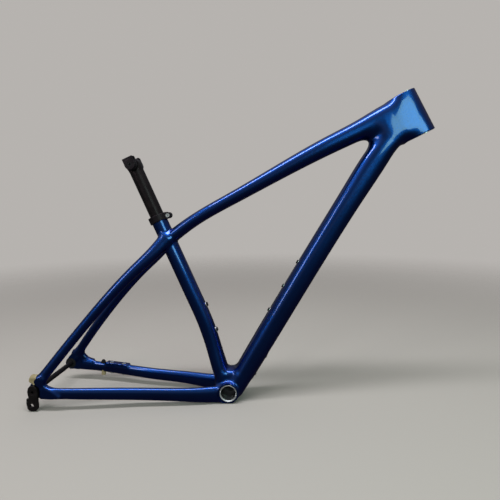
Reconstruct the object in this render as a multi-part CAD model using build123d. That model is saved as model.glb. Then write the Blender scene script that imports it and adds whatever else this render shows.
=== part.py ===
# Bicycle frame: hardtail mountain-bike frame with its seatpost, thru axle and hanger.
# Row frame: origin at the bottom bracket centre, +X forward with the wheel axles level,
# +Z up, +Y to the rider's left.  The drive side is -Y.  Millimetres.
from build123d import *
import os
from math import cos, sin, radians

os.makedirs("parts", exist_ok=True)

# ---------------------------------------------------------------- driving dimensions
reach = 446.0              # bottom bracket to the top of the head tube, level
stack = 616.0              # the same, upright
head_angle = 70.5
head_length = 96.0
head_r_top = 25.0
head_r_bottom = 30.0
seat_angle = 72.6
seat_axis_foot = 13.0      # where the seat axis crosses the level of the bottom bracket
seat_top_z = 419.0
seat_tube_r = 18.25
post_r = 15.8
post_clearance = 0.05
axle_x = -425.0
axle_z = 64.0
hub_half = 74.0            # half of the 148 mm hub spacing
axle_r = 6.0
shell_half = 36.5          # half of the 73 mm threaded shell
shell_r = 24.0
sleeve_r = 20.0
sleeve_bore_r = 16.9
wall = 2.0

# ---------------------------------------------------------------- derived directions
head_axis = Vector(-cos(radians(head_angle)), 0, sin(radians(head_angle)))
head_top = Vector(reach, 0, stack)
head_bottom = head_top - head_axis * head_length
seat_axis = Vector(-cos(radians(seat_angle)), 0, sin(radians(seat_angle)))

seat_ahead = Vector(seat_axis.Z, 0, -seat_axis.X)     # square to the seat axis, forward


def on_seat_axis(z):
    """The point of the seat axis at height z."""
    return Vector(seat_axis_foot, 0, 0) + seat_axis * (z / seat_axis.Z)


seat_top = on_seat_axis(seat_top_z)
cluster = on_seat_axis(362.0)          # where top tube, seat tube and seatstays cross
axle = Vector(axle_x, 0, axle_z)

# Each tube is a list of stations: centre x, y, z, width across, depth in its own plane.
top_tube_stations = [
    (cluster.X, 0, 362, 38, 30), (-44, 0, 395, 37, 28), (60, 0, 440, 36, 28.5),
    (170, 0, 485, 39, 33), (283, 0, 529, 43, 39), (360, 0, 557, 45, 47), (432, 0, 578, 47, 62)]
down_tube_stations = [
    (12, 0, -2, 62, 44), (60, 0, 63, 58, 48), (165, 0, 205.5, 52, 50), (260, 0, 333, 50, 50),
    (330, 0, 425, 50, 52), (382, 0, 488, 50, 58), (452, 0, 548, 52, 62)]
seat_tube_low_stations = [
    (on_seat_axis(225).X, 0, 225, 36.4, 36.4), (-43.5, 0, 180, 36.5, 36.5),
    (-33, 0, 138, 38, 36.5), (-25.5, 0, 97, 42, 36), (-19, 0, 58, 50, 37), (-9, 0, 8, 56, 38)]
chainstay_stations = [
    (-14, 28, -3, 20, 40), (-62, 37, 3, 18, 35), (-107, 44, 10.5, 17, 31),
    (-196, 53, 24.5, 17, 28), (-282, 66, 38.5, 16, 26.5), (-375, 78, 53, 13, 24),
    (-404, 80.5, 58, 12, 23)]
seatstay_stations = [
    (-101, 12, 366, 20, 28), (-130, 23, 339, 19, 25), (-178, 36, 302, 16, 21),
    (-236, 47, 254, 14, 18), (-311, 58, 184, 13, 17), (-360, 68, 135, 13, 17),
    (-392, 76, 102, 12, 17), (-409, 79.5, 85, 12, 17)]


# ---------------------------------------------------------------- helpers
def stations_of(rows, side=1):
    """Centres, directions and sizes of a list of stations, on the side asked for."""
    centres = [Vector(x, y * side, z) for x, y, z, w, d in rows]
    out = []
    for i, row in enumerate(rows):
        before = centres[max(i - 1, 0)]
        after = centres[min(i + 1, len(rows) - 1)]
        out.append((centres[i], (after - before).normalized(), row[3], row[4]))
    return out


def section(centre, direction, width, depth, grow=0.0):
    """An oval face across a tube, its width nearest to the Y direction."""
    across = (Vector(0, 1, 0) - direction * direction.Y).normalized()
    plane = Plane(origin=centre, x_dir=across, z_dir=direction)
    return plane * Ellipse(width / 2 + grow, depth / 2 + grow)


def oval_tube(rows, side=1, grow=0.0):
    """The solid through the oval faces of a tube, grown or shrunk all round."""
    return loft([section(c, t, w, d, grow) for c, t, w, d in stations_of(rows, side)])


def biggest(shape):
    """The largest solid of a cut, without its offcuts."""
    return max(shape.solids(), key=lambda s: s.volume)


def rod(start, end, radius):
    """A round bar from one point to another."""
    along = end - start
    plane = Plane(origin=start, z_dir=along.normalized())
    return plane * Cylinder(radius, along.length, align=(Align.CENTER, Align.CENTER, Align.MIN))


def frustum(start, end, r_start, r_end):
    """A round bar whose radius changes evenly from one end to the other."""
    along = end - start
    plane = Plane(origin=start, z_dir=along.normalized())
    return plane * Cone(r_start, r_end, along.length, align=(Align.CENTER, Align.CENTER, Align.MIN))


def y_rod(x, z, y_from, y_to, radius):
    """A round bar along Y."""
    return rod(Vector(x, y_from, z), Vector(x, y_to, z), radius)


def y_plate(points, y_from, y_to):
    """A plate in the XZ plane, between two Y levels."""
    outline = [Vector(x, y_from, z) for x, z in points]
    face = make_face(Polyline(*outline, close=True))
    return extrude(face, amount=y_to - y_from, dir=(0, 1, 0))


def hex_bar(start, direction, across_flats, length):
    """A hexagonal bar, for a hex socket."""
    plane = Plane(origin=start, z_dir=direction)
    return extrude(plane * RegularPolygon(across_flats / 2, 6, major_radius=False), amount=length)


def socket_bolt(seat, direction, head_r, head_h, shank_r, shank_length, socket):
    """A bolt whose head rises from seat along direction, with its shank the other way."""
    head = rod(seat, seat + direction * head_h, head_r)
    shank = rod(seat, seat - direction * shank_length, shank_r)
    depth = head_h * 0.65
    return head + shank - hex_bar(seat + direction * (head_h - depth), direction, socket, depth + 1)


def seat_block(ahead_from, ahead_to, half_width, up_from, up_to):
    """A box square to the seat axis, placed from the top of the seat tube."""
    middle = seat_top + seat_ahead * ((ahead_from + ahead_to) / 2) + seat_axis * ((up_from + up_to) / 2)
    plane = Plane(origin=middle, x_dir=seat_ahead, z_dir=seat_axis)
    return plane * Box(ahead_to - ahead_from, 2 * half_width, up_to - up_from)


def save(name, shape):
    """Write one node."""
    solids = shape.solids()
    out = solids[0] if len(solids) == 1 else Compound(children=list(solids))
    export_step(out, f"parts/{name}.step")


# ---------------------------------------------------------------- outer forms used for trimming
head_outer = frustum(head_bottom, head_top, head_r_bottom, head_r_top)
seat_straight_foot = on_seat_axis(215)
seat_upper_outer = rod(seat_straight_foot, seat_top, seat_tube_r)
seat_lower_outer = oval_tube(seat_tube_low_stations)
seat_outer = seat_upper_outer + seat_lower_outer       # the curved part starts inside the straight one
web_points = [(-30, 24), (-5, 44), (19, 44), (42, 28), (24, 0), (-20, 0)]
web_half = 23.0
shell_outer = y_rod(0, 0, -shell_half, shell_half, shell_r) + y_plate(web_points, -web_half, web_half)
top_outer = oval_tube(top_tube_stations)
down_outer = oval_tube(down_tube_stations)
chainstay_outer = {s: oval_tube(chainstay_stations, s) for s in (1, -1)}
seatstay_outer = {s: oval_tube(seatstay_stations, s) for s in (1, -1)}

# ---------------------------------------------------------------- headset seats
seat_ring_h = 9.0
upper_bore_r = 20.95       # 42 mm drop-in bearing
lower_bore_r = 26.05       # 52 mm drop-in bearing
ring_wall = 1.6
bevel = 2.4                # step that carries the bearing's bevel


def headset_ring(mouth, inward, bore_r):
    """A ring pressed into the head tube, with a bevelled step under the bearing."""
    bottom = mouth + inward * (seat_ring_h + bevel)
    step = mouth + inward * seat_ring_h
    body = rod(mouth, bottom, bore_r + ring_wall)
    body -= rod(mouth - inward, step, bore_r)
    return body - frustum(step, bottom + inward * 0.001, bore_r, bore_r - bevel)


def head_tube():
    upper_end = head_top - head_axis * (seat_ring_h + bevel)
    lower_end = head_bottom + head_axis * (seat_ring_h + bevel)
    body = head_outer - rod(head_top + head_axis, upper_end, upper_bore_r + ring_wall)
    body -= rod(head_bottom - head_axis, lower_end, lower_bore_r + ring_wall)
    return body - frustum(lower_end, upper_end, lower_bore_r - bevel, upper_bore_r - bevel)


# ---------------------------------------------------------------- main tubes
def top_tube():
    body = top_outer - head_outer - seat_outer
    return biggest(biggest(body) - oval_tube(top_tube_stations, grow=-wall))


cover_rise = 1.4           # how far the cable cover stands off the down tube
cover_half = 15.0
down_dir = Vector(cos(radians(53.4)), 0, sin(radians(53.4)))
down_under = Vector(down_dir.Z, 0, -down_dir.X)       # square to the tube, out of its underside


def on_down_tube(distance, off=0.0):
    """A point by the straight part of the down tube, from its crossing of the bracket."""
    return Vector(12, 0, -2) + down_dir * distance + down_under * off


def down_tube():
    below_head = rod(head_bottom - head_axis * 30, head_bottom, head_r_bottom)   # room for the bearing
    body = down_outer - head_outer - shell_outer - top_outer - seat_outer - below_head
    return biggest(biggest(body) - oval_tube(down_tube_stations, grow=-wall))


def seat_tube():
    slot_w = 2.0
    slot_l = 26.0
    bore = rod(seat_straight_foot - seat_axis * 2, seat_top + seat_axis, post_r + post_clearance)
    body = biggest(seat_outer - shell_outer - down_outer)
    body = biggest(body - oval_tube(seat_tube_low_stations, grow=-wall))
    body = biggest(body - bore)
    slot = seat_block(0, 2 * seat_tube_r, slot_w / 2, -slot_l, 1)
    return biggest(body - slot)


def bottom_bracket_junction():
    body = shell_outer - y_rod(0, 0, -shell_half - 1, shell_half + 1, sleeve_r)
    return biggest(body)


def bottom_bracket_sleeve():
    body = y_rod(0, 0, -shell_half, shell_half, sleeve_r)
    return body - y_rod(0, 0, -shell_half - 1, shell_half + 1, sleeve_bore_r)


# ---------------------------------------------------------------- dropouts, hanger and axle
drop_outer_y = 81.0        # outer face of the thin plate round the axle
stay_end_y = (74.5, 86.5)  # the thicker part that the stays run into
plate_r = 16.0
swing_r = 17.8             # room for the hanger to swing
flange_recess_r = 11.3
flange_recess = 2.4
boss_hole_r = 8.0
gusset = {1: [(-366, 66), (-381, 74), (-390, 86), (-389, 97)],
          -1: [(-388, 65), (-394, 71), (-398, 79), (-396, 89)]}


def dropout_outer(side):
    """The dropout's outside: a thin plate round the axle and a thick part at the stays."""
    thick = gusset[side] + [(-415, 97), (-421, 84), (-410, 70), (-406, 62), (-409, 47), (-388, 42), (-372, 40)]
    low, high = sorted((stay_end_y[0] * side, stay_end_y[1] * side))
    body = y_plate(thick, low, high)
    body -= y_rod(axle_x, axle_z, low - 1, high + 1, swing_r)
    thin = [(-415, 90), (-432, 84), (-440, 70), (-440, 58), (-432, 47), (-408, 47), (-408, 90)]
    low, high = sorted((hub_half * side, drop_outer_y * side))
    return body + y_plate(thin, low, high) + y_rod(axle_x, axle_z, low, high, plate_r)


drop_outer = {s: dropout_outer(s) for s in (1, -1)}


def chainstay(side):
    beside_shell = y_rod(0, 0, -60, 60, shell_r)       # room for the bracket's cups
    body = chainstay_outer[side] - shell_outer - seat_outer - drop_outer[side] - down_outer - beside_shell
    return biggest(biggest(body) - oval_tube(chainstay_stations, side, -wall))


def seatstay(side):
    body = seatstay_outer[side] - seat_outer - top_outer - drop_outer[side]
    return biggest(biggest(body) - oval_tube(seatstay_stations, side, -wall))


def dropout(side):
    body = drop_outer[side]
    if side > 0:
        return biggest(body - y_rod(axle_x, axle_z, 60, 100, axle_r + post_clearance))
    body -= y_rod(axle_x, axle_z, -100, -60, boss_hole_r)
    return biggest(body - y_rod(axle_x, axle_z, -hub_half - flange_recess, -60, flange_recess_r))


hanger_outer_y = -88.0
hanger_hole = Vector(-431.5, 0, 33.5)
hanger_hole_r = 4.5                     # M10 x 1
hanger_sleeve_r = 6.9
hanger_depth = 4.0                      # how much thread the axle has in the hanger


def hanger():
    """The two-lobed hanger, with its boss through the dropout and the derailleur's hole."""
    up_lobe = [(-441, 52), (-441.5, 66), (-437, 75), (-429, 79), (-419, 78), (-414, 72),
               (-413.5, 60), (-416, 47), (-441, 47)]
    low_lobe = [(-444.5, 50), (-446, 40), (-445.5, 28), (-441, 22.5), (-434, 20), (-425, 20.5),
                (-420, 24), (-418, 31), (-416, 50)]
    plate_low = hanger_outer_y
    plate_high = -drop_outer_y
    body = y_plate(up_lobe, plate_low, plate_high) + y_plate(low_lobe, plate_low, plate_high - 0.5)
    body += y_rod(axle_x, axle_z, plate_high - 0.5, -hub_half - flange_recess, boss_hole_r - 0.05)
    body -= y_rod(axle_x, axle_z, -100, -60, axle_r + post_clearance)
    body -= y_rod(axle_x, axle_z, hanger_outer_y + hanger_depth, -60, hanger_sleeve_r + 0.05)
    body -= y_rod(hanger_hole.X, hanger_hole.Z, -100, -60, hanger_hole_r)
    return biggest(body)


def hanger_bolt():
    """The hollow bolt that holds the hanger from the hub's side."""
    body = y_rod(axle_x, axle_z, -hub_half - flange_recess, -hub_half, flange_recess_r - 0.1)
    body += y_rod(axle_x, axle_z, hanger_outer_y + hanger_depth, -hub_half - 0.5, hanger_sleeve_r)
    return body - y_rod(axle_x, axle_z, -100, -60, axle_r + post_clearance)


axle_tip_y = -87.5
washer_t = 2.0
axle_head_r = 8.5
axle_head_h = 5.0


def axle_washer():
    body = y_rod(axle_x, axle_z, drop_outer_y, drop_outer_y + washer_t, 10.5)
    return body - y_rod(axle_x, axle_z, 60, 100, axle_r + 0.05)


def thru_axle():
    seat = drop_outer_y + washer_t
    body = y_rod(axle_x, axle_z, axle_tip_y, seat, axle_r - 0.02)
    body += y_rod(axle_x, axle_z, seat, seat + axle_head_h, axle_head_r)
    body -= hex_bar(Vector(axle_x, seat - 3, axle_z), (0, 1, 0), 6, 20)
    return body - y_rod(axle_x, axle_z, axle_tip_y - 1, 60, 3.2)


# ---------------------------------------------------------------- brake mount on the left chainstay
brake_spacing = 34.0
brake_hole_r = 2.75
sleeve_wall = 2.25
brake_middle = Vector(-298, 68.3, 41.2)
brake_along = Vector(-93, 12, 14.5).normalized()
brake_up = (Vector(0, 0, 1) - brake_along * brake_along.Z).normalized()
pad_height = 15.0
brake_bottom = 14.0


def brake_points():
    return [brake_middle + brake_along * (k * brake_spacing / 2) for k in (-1, 1)]


def brake_rod(point, radius, low, high):
    return rod(point + brake_up * low, point + brake_up * high, radius)


def brake_pad():
    """The flat land on top of the chainstay that the brake bolts down to."""
    plane = Plane(origin=brake_middle + brake_up * (pad_height - 5), x_dir=brake_along, z_dir=brake_up)
    return plane * Box(60, 15, 10)


def chainstay_left():
    body = chainstay(1)
    body += brake_pad() - oval_tube(chainstay_stations, 1, -wall)
    for point in brake_points():
        body -= brake_rod(point, brake_hole_r + sleeve_wall, -40, 40)
    return biggest(body)


def brake_mount_sleeves():
    out = []
    for point in brake_points():
        body = brake_rod(point, brake_hole_r + sleeve_wall, -brake_bottom, pad_height)
        out.append(body - brake_rod(point, brake_hole_r, -40, 40))
    return Compound(children=out)


# ---------------------------------------------------------------- seatpost, saddle clamp, seat clamp
post_foot_z = 250.0
post_top_z = 514.0
head_centre = on_seat_axis(537.5)
head_half = 12.0
head_r = 15.0
rail_y = 22.0
rail_r = 3.5
rail_rise = 10.0
cheek_top = 16.5
cup_gap = 0.75
rail_axis_point = head_centre + seat_axis * rail_rise
clamp_bolt_r = 3.0


def seatpost():
    foot = on_seat_axis(post_foot_z)
    top = on_seat_axis(post_top_z)
    body = rod(foot, top, post_r)
    return body - rod(foot - seat_axis, top + seat_axis, post_r - 2.5)


def seatpost_head():
    """The forged head: a stub glued into the post, a neck and the round eye of the clamp."""
    top = on_seat_axis(post_top_z)
    body = rod(on_seat_axis(post_top_z - 24), top + seat_axis, post_r - 2.5)
    neck = [section(top, seat_axis, 2 * post_r, 2 * post_r),
            section(on_seat_axis(post_top_z + 6), seat_axis, 27, 31),
            section(on_seat_axis(post_top_z + 11), seat_axis, 2 * head_half - 0.5, 30.5),
            section(head_centre, seat_axis, 2 * head_half - 0.5, 2 * head_r - 1)]
    body += loft(neck)
    body += y_rod(head_centre.X, head_centre.Z, -head_half, head_half, head_r)
    return biggest(body - y_rod(head_centre.X, head_centre.Z, -60, 60, clamp_bolt_r + 0.1))


def cheek(y_from, y_to, radius):
    """A cheek of the saddle clamp: round below its bolt and square above, with a rail groove."""
    low, high = sorted((y_from, y_to))
    body = y_rod(head_centre.X, head_centre.Z, low, high, radius)
    middle = head_centre + seat_axis * (cheek_top / 2) + Vector(0, (low + high) / 2, 0)
    body += Plane(origin=middle, x_dir=seat_ahead, z_dir=seat_axis) * Box(2 * radius, high - low, cheek_top)
    for side in (1, -1):
        rail = rail_axis_point + Vector(0, rail_y * side, 0)
        body -= rod(rail - seat_ahead * 40, rail + seat_ahead * 40, rail_r)
    return biggest(body - y_rod(head_centre.X, head_centre.Z, -60, 60, clamp_bolt_r + 0.1))


cheek_outer_y = 28.5


def saddle_clamp_inner():
    return Compound(children=[cheek((head_half + 0.05) * s, (rail_y - cup_gap) * s, 13)
                              for s in (1, -1)])


def saddle_clamp_outer(side):
    body = cheek((rail_y + cup_gap) * side, cheek_outer_y * side, 12)
    low, high = sorted(((cheek_outer_y - 4) * side, (cheek_outer_y + 1) * side))
    return body - y_rod(head_centre.X, head_centre.Z, low, high, 5.2)


def saddle_clamp_bolt():
    seat = Vector(head_centre.X, -(cheek_outer_y - 4), head_centre.Z)
    return socket_bolt(seat, Vector(0, -1, 0), 5.1, 3.6, clamp_bolt_r, 2 * (cheek_outer_y - 4) + 2, 5)


def saddle_clamp_nut():
    body = y_rod(head_centre.X, head_centre.Z, cheek_outer_y - 4, cheek_outer_y - 0.4, 5.1)
    return body - y_rod(head_centre.X, head_centre.Z, 0, 60, clamp_bolt_r)


collar_h = 15.0
collar_r = 21.8
ear_ahead = 25.2
ear_r = 7.0
ear_half = 8.0
ear_gap = 1.2
ear_drop = 9.0
ear_centre = seat_top + seat_ahead * ear_ahead - seat_axis * ear_drop


def seat_clamp():
    """The split collar round the top of the seat tube, with two ears for its bolt."""
    top = seat_top + seat_axis * 0.8
    foot = top - seat_axis * collar_h
    body = rod(foot, top, collar_r)
    body += y_rod(ear_centre.X, ear_centre.Z, -ear_half, ear_half, ear_r)
    body += seat_block(10, ear_ahead, ear_half, -collar_h + 1.5, 0.1)
    body -= rod(foot - seat_axis, top + seat_axis, seat_tube_r)
    body -= seat_block(0, 60, ear_gap, -30, 10)
    return biggest(body - y_rod(ear_centre.X, ear_centre.Z, -20, 20, 2.6))


def seat_clamp_bolt():
    seat = Vector(ear_centre.X, -ear_half, ear_centre.Z)
    return socket_bolt(seat, Vector(0, -1, 0), 4.4, 3.4, 2.5, 2 * ear_half + 1, 4)


def seat_clamp_nut():
    body = y_rod(ear_centre.X, ear_centre.Z, ear_half, ear_half + 2.6, 4.6)
    return body - y_rod(ear_centre.X, ear_centre.Z, 0, 30, 2.5)


# ---------------------------------------------------------------- bottle bosses
boss_r = 5.0
boss_flange_r = 6.5
boss_proud = 0.9
boss_depth = 11.0
boss_bolt_r = 2.5
down_boss_distances = (204.0, 268.0, 332.0)
seat_boss_places = ((Vector(-48.8, 0, 198), Vector(0.955, 0, 0.297)),
                    (Vector(-33.1, 0, 138), Vector(0.972, 0, 0.235)))


def boss_places():
    """Where each boss stands on its tube's axis, the way it faces and how far out its face is."""
    down = [(on_down_tube(d), down_under * -1, 25.2) for d in down_boss_distances]
    seat = [(place, facing, 18.3) for place, facing in seat_boss_places]
    return down, seat


def boss(place, facing, face):
    """A threaded insert: a flange on the tube and a barrel through its wall."""
    body = rod(place + facing * (face - boss_depth), place + facing * face, boss_r)
    body += rod(place + facing * (face - 0.3), place + facing * (face + boss_proud), boss_flange_r)
    return body - rod(place, place + facing * 60, boss_bolt_r)


def boss_bolt(place, facing, face):
    seat = place + facing * (face + boss_proud)
    return socket_bolt(seat, facing, 4.4, 2.6, boss_bolt_r, 12, 3)


def with_boss_holes(tube, places):
    """A tube with the holes for its bosses cut out."""
    for place, facing, face in places:
        tube -= rod(place + facing * 5, place + facing * 40, boss_r)
        tube -= rod(place + facing * (face - 0.3), place + facing * 40, boss_flange_r)
    return biggest(tube)


# ---------------------------------------------------------------- cable cover under the down tube
cover_from = 44.0
cover_to = 112.0


def cover_block(grow):
    """The space the cover takes: a thin shell on the underside of the down tube."""
    middle = on_down_tube((cover_from + cover_to) / 2, 25)
    plane = Plane(origin=middle, x_dir=down_dir, z_dir=down_under)
    return plane * Box(cover_to - cover_from + 2 * grow, 2 * (cover_half + grow), 30)


def cover_screw_points():
    return [on_down_tube(d, 24.0 + cover_rise) for d in (cover_from + 9, cover_to - 9)]


def cover_space(play):
    """The cover's own shell, let one millimetre into the tube's wall, with play all round."""
    shell = oval_tube(down_tube_stations, grow=cover_rise) - oval_tube(down_tube_stations, grow=-1.0)
    return biggest(shell & cover_block(play))


def cable_cover():
    body = cover_space(0)
    for point in cover_screw_points():
        body -= rod(point - down_under * 20, point + down_under * 20, 1.5)
        body -= rod(point - down_under * 0.6, point + down_under * 20, 2.9)
    return biggest(body)


def cover_screws():
    return Compound(children=[socket_bolt(p - down_under * 0.6, down_under, 2.8, 1.8, 1.5, 6, 2)
                              for p in cover_screw_points()])


# ---------------------------------------------------------------- grommet and port plugs
def brake_hose_grommet():
    """The rubber collar where the brake hose leaves the top of the left chainstay."""
    foot = Vector(-338, 73.5, 50)
    body = frustum(foot, foot + brake_up * 15.5, 5.2, 4.0)
    body += rod(foot + brake_up * 9, foot + brake_up * 11.5, 6.4)
    body -= chainstay_outer[1]
    return biggest(biggest(body) - rod(foot, foot + brake_up * 40, 2.4))


def chainstay_port_plug():
    """A soft plug in the port under the left chainstay."""
    top = Vector(-338, 73, 44)
    body = rod(top - brake_up * 17.5, top, 5.5)
    return biggest(body - chainstay_outer[1])


def derailleur_port_plug():
    """A soft plug in the housing port behind the right dropout."""
    foot = Vector(-416, -80.5, 90)
    body = frustum(foot, foot + Vector(-11, 0, 5), 6.5, 5.0)
    return biggest(body - drop_outer[-1] - seatstay_outer[-1])


down_bosses, seat_bosses = boss_places()
pieces = {
    "head_tube": head_tube(),
    "headset_seat_upper": headset_ring(head_top, -head_axis, upper_bore_r),
    "headset_seat_lower": headset_ring(head_bottom, head_axis, lower_bore_r),
    "top_tube": top_tube(),
    "down_tube": down_tube(),
    "seat_tube": seat_tube(),
    "bottom_bracket_junction": bottom_bracket_junction(),
    "bottom_bracket_sleeve": bottom_bracket_sleeve(),
    "chainstay_left": chainstay_left(),
    "chainstay_right": chainstay(-1),
    "seatstay_left": seatstay(1),
    "seatstay_right": seatstay(-1),
    "dropout_left": dropout(1),
    "dropout_right": dropout(-1),
    "derailleur_hanger": hanger(),
    "hanger_bolt": hanger_bolt(),
    "axle_washer": axle_washer(),
    "thru_axle": thru_axle(),
    "brake_mount_sleeves": brake_mount_sleeves(),
    "seatpost": seatpost(),
    "seatpost_head": seatpost_head(),
    "saddle_clamp_inner": saddle_clamp_inner(),
    "saddle_clamp_outer_left": saddle_clamp_outer(1),
    "saddle_clamp_outer_right": saddle_clamp_outer(-1),
    "saddle_clamp_bolt": saddle_clamp_bolt(),
    "saddle_clamp_nut": saddle_clamp_nut(),
    "seat_clamp": seat_clamp(),
    "seat_clamp_bolt": seat_clamp_bolt(),
    "seat_clamp_nut": seat_clamp_nut(),
    "down_tube_bosses": Compound(children=[boss(*b) for b in down_bosses]),
    "down_tube_boss_bolts": Compound(children=[boss_bolt(*b) for b in down_bosses]),
    "seat_tube_bosses": Compound(children=[boss(*b) for b in seat_bosses]),
    "seat_tube_boss_bolts": Compound(children=[boss_bolt(*b) for b in seat_bosses]),
    "cable_cover": cable_cover(),
    "cable_cover_screws": cover_screws(),
    "brake_hose_grommet": brake_hose_grommet(),
    "chainstay_port_plug": chainstay_port_plug(),
    "derailleur_port_plug": derailleur_port_plug(),
}
pieces["down_tube"] = with_boss_holes(pieces["down_tube"], down_bosses)
pieces["seat_tube"] = with_boss_holes(pieces["seat_tube"], seat_bosses)
pieces["down_tube"] = biggest(pieces["down_tube"] - cover_space(0.3))
for point in cover_screw_points():
    pieces["down_tube"] -= rod(point - down_under * 9, point, 1.5)

for part_name, part_shape in pieces.items():
    save(part_name, part_shape)
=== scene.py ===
"""Bicycle frame: the painted one-piece shell, the seatpost and saddle clamp, the hanger and the thru axle.

Lengths are millimetres in the part's own frame, and are turned into metres when a mesh is made. Only the
floor, the lights and the camera are placed in metres. A side of 1 is the left, at +Y, and -1 is the right.
The painted shell is one smooth form: the tubes' distance fields run into each other with wide fillets.
"""
from math import cos, radians, sin

import bmesh
import bpy
import numpy as np
from mathutils import Matrix, Vector


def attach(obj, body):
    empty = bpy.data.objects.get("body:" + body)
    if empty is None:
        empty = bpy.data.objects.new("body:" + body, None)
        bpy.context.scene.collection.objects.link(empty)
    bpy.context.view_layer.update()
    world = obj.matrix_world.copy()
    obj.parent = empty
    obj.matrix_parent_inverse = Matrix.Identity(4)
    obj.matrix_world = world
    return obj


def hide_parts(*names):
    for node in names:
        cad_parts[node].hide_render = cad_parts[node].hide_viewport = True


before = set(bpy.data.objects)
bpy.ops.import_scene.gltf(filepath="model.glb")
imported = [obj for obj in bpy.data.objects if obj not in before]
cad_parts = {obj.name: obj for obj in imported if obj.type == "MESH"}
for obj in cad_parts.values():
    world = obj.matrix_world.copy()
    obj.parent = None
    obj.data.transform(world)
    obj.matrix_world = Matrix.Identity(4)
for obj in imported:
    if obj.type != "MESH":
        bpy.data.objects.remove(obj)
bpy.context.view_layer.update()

MM = 0.001
SIDES = ((1, "left"), (-1, "right"))

# ------------ the frame's dimensions
HEAD_ANGLE = 70.5              # degrees from level
HEAD_LENGTH = 96.0
HEAD_R_TOP = 25.0
HEAD_R_BOTTOM = 30.0
SEAT_ANGLE = 72.6              # degrees from level
SEAT_FOOT = 13.0               # where the seat axis passes ahead of the bracket's centre
SEAT_TOP_Z = 419.0
SEAT_R = 18.25
POST_R = 15.8
AXLE = np.array((-425.0, 0.0, 64.0))
HUB_HALF = 74.0                # the dropouts' inner faces
PLATE_Y = 81.0                 # the outer faces of the dropouts' thin plates
EYE_R = 14.5                   # the metal round the axle
FRAME_HALF = 87.9              # the shell and the hanger go no further out than this
SHELL_HALF = 36.5              # the bracket shell's half width and radius
SHELL_R = 24.0
SLEEVE_R = 20.0
SLEEVE_BORE_R = 16.9


def vec(*numbers):
    return np.array(numbers, float)


def unit(v):
    return v / np.linalg.norm(v)


HEAD_AXIS = vec(-cos(radians(HEAD_ANGLE)), 0, sin(radians(HEAD_ANGLE)))
HEAD_TOP = vec(446, 0, 616)
HEAD_BOTTOM = HEAD_TOP - HEAD_AXIS * HEAD_LENGTH
SEAT_AXIS = vec(-cos(radians(SEAT_ANGLE)), 0, sin(radians(SEAT_ANGLE)))
SEAT_AHEAD = vec(SEAT_AXIS[2], 0, -SEAT_AXIS[0])
SEAT_AXES = (SEAT_AHEAD, vec(0, 1, 0), SEAT_AXIS)


def on_seat_axis(z):
    """The point of the seat axis at height z."""
    return vec(SEAT_FOOT, 0, 0) + SEAT_AXIS * (z / SEAT_AXIS[2])


SEAT_TOP = on_seat_axis(SEAT_TOP_Z)
CLUSTER = on_seat_axis(362)    # where the top tube runs into the seat tube


def seat_row(z, width=2 * SEAT_R, depth=2 * SEAT_R):
    return (on_seat_axis(z)[0], 0, z, width, depth)


# Stations of each tube: centre x, y, z, width across, depth in its own plane. The stays are the left ones.
TOP_TUBE = [(CLUSTER[0], 0, 362, 38, 30), (-44, 0, 395, 37, 28), (60, 0, 440, 36, 28.5),
            (170, 0, 485, 39, 33), (283, 0, 529, 43, 39), (360, 0, 556, 44, 44),
            (402, 0, 571, 49, 51), (438, 0, 581, 52, 58)]
DOWN_TUBE = [(12, 0, -2, 62, 44), (60, 0, 63, 58, 48), (165, 0, 205.5, 52, 50),
             (260, 0, 333, 50, 50), (330, 0, 425, 50, 52), (380.5, 0, 489.5, 53, 53),
             (416, 0, 527, 56, 49), (437, 0, 541, 56, 50)]
SEAT_TUBE = [seat_row(z) for z in (440, 400, 360, 320, 285, 255, 225)] + [
    (-43.5, 0, 180, 36.5, 36.5), (-33, 0, 138, 38, 36.5), (-25.5, 0, 97, 42, 36),
    (-19, 0, 58, 50, 37), (-9, 0, 8, 56, 38)]
CHAINSTAY = [(-14, 28, -3, 20, 40), (-62, 37, 3, 18, 35), (-107, 44, 10.5, 17, 31),
             (-196, 53, 24.5, 17, 28), (-282, 66, 38.5, 16, 26.5), (-375, 78, 53, 13, 24),
             (-404, 80.5, 58, 12, 23)]
SEATSTAY = [(-101, 12, 366, 20, 28), (-130, 23, 339, 19, 25), (-178, 36, 302, 16, 21),
            (-236, 47, 254, 14, 18), (-311, 58, 184, 13, 17), (-360, 68, 135, 13, 17),
            (-392, 76, 102, 12, 17), (-409, 79.5, 85, 12, 17)]


# ------------ distance fields
def spline(knots, values, where):
    """A natural cubic spline through values at knots, read at where."""
    n = len(knots)
    gap = np.diff(knots)
    system = np.zeros((n, n))
    system[0, 0] = system[-1, -1] = 1
    right = np.zeros_like(values)
    for i in range(1, n - 1):
        system[i, i - 1:i + 2] = gap[i - 1], 2 * (gap[i - 1] + gap[i]), gap[i]
        right[i] = 6 * ((values[i + 1] - values[i]) / gap[i] - (values[i] - values[i - 1]) / gap[i - 1])
    bend = np.linalg.solve(system, right)
    i = np.clip(np.searchsorted(knots, where) - 1, 0, n - 2)
    h = gap[i][:, None]
    a = (where - knots[i])[:, None]
    b = h - a
    return (bend[i] * b ** 3 + bend[i + 1] * a ** 3) / (6 * h) + (values[i] / h - bend[i] * h / 6) * b + (
        values[i + 1] / h - bend[i + 1] * h / 6) * a


def dot(a, b):
    return (a * b).sum(-1)


DOME = 12.0            # how far a tube's rounded ends run on past its last stations, at most
TUBE_REACH = 34        # how far outside a tube its field is worked out
TRIAL_STEP = 12        # every so many points of a tube's line are tried before its nearest one is refined


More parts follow.
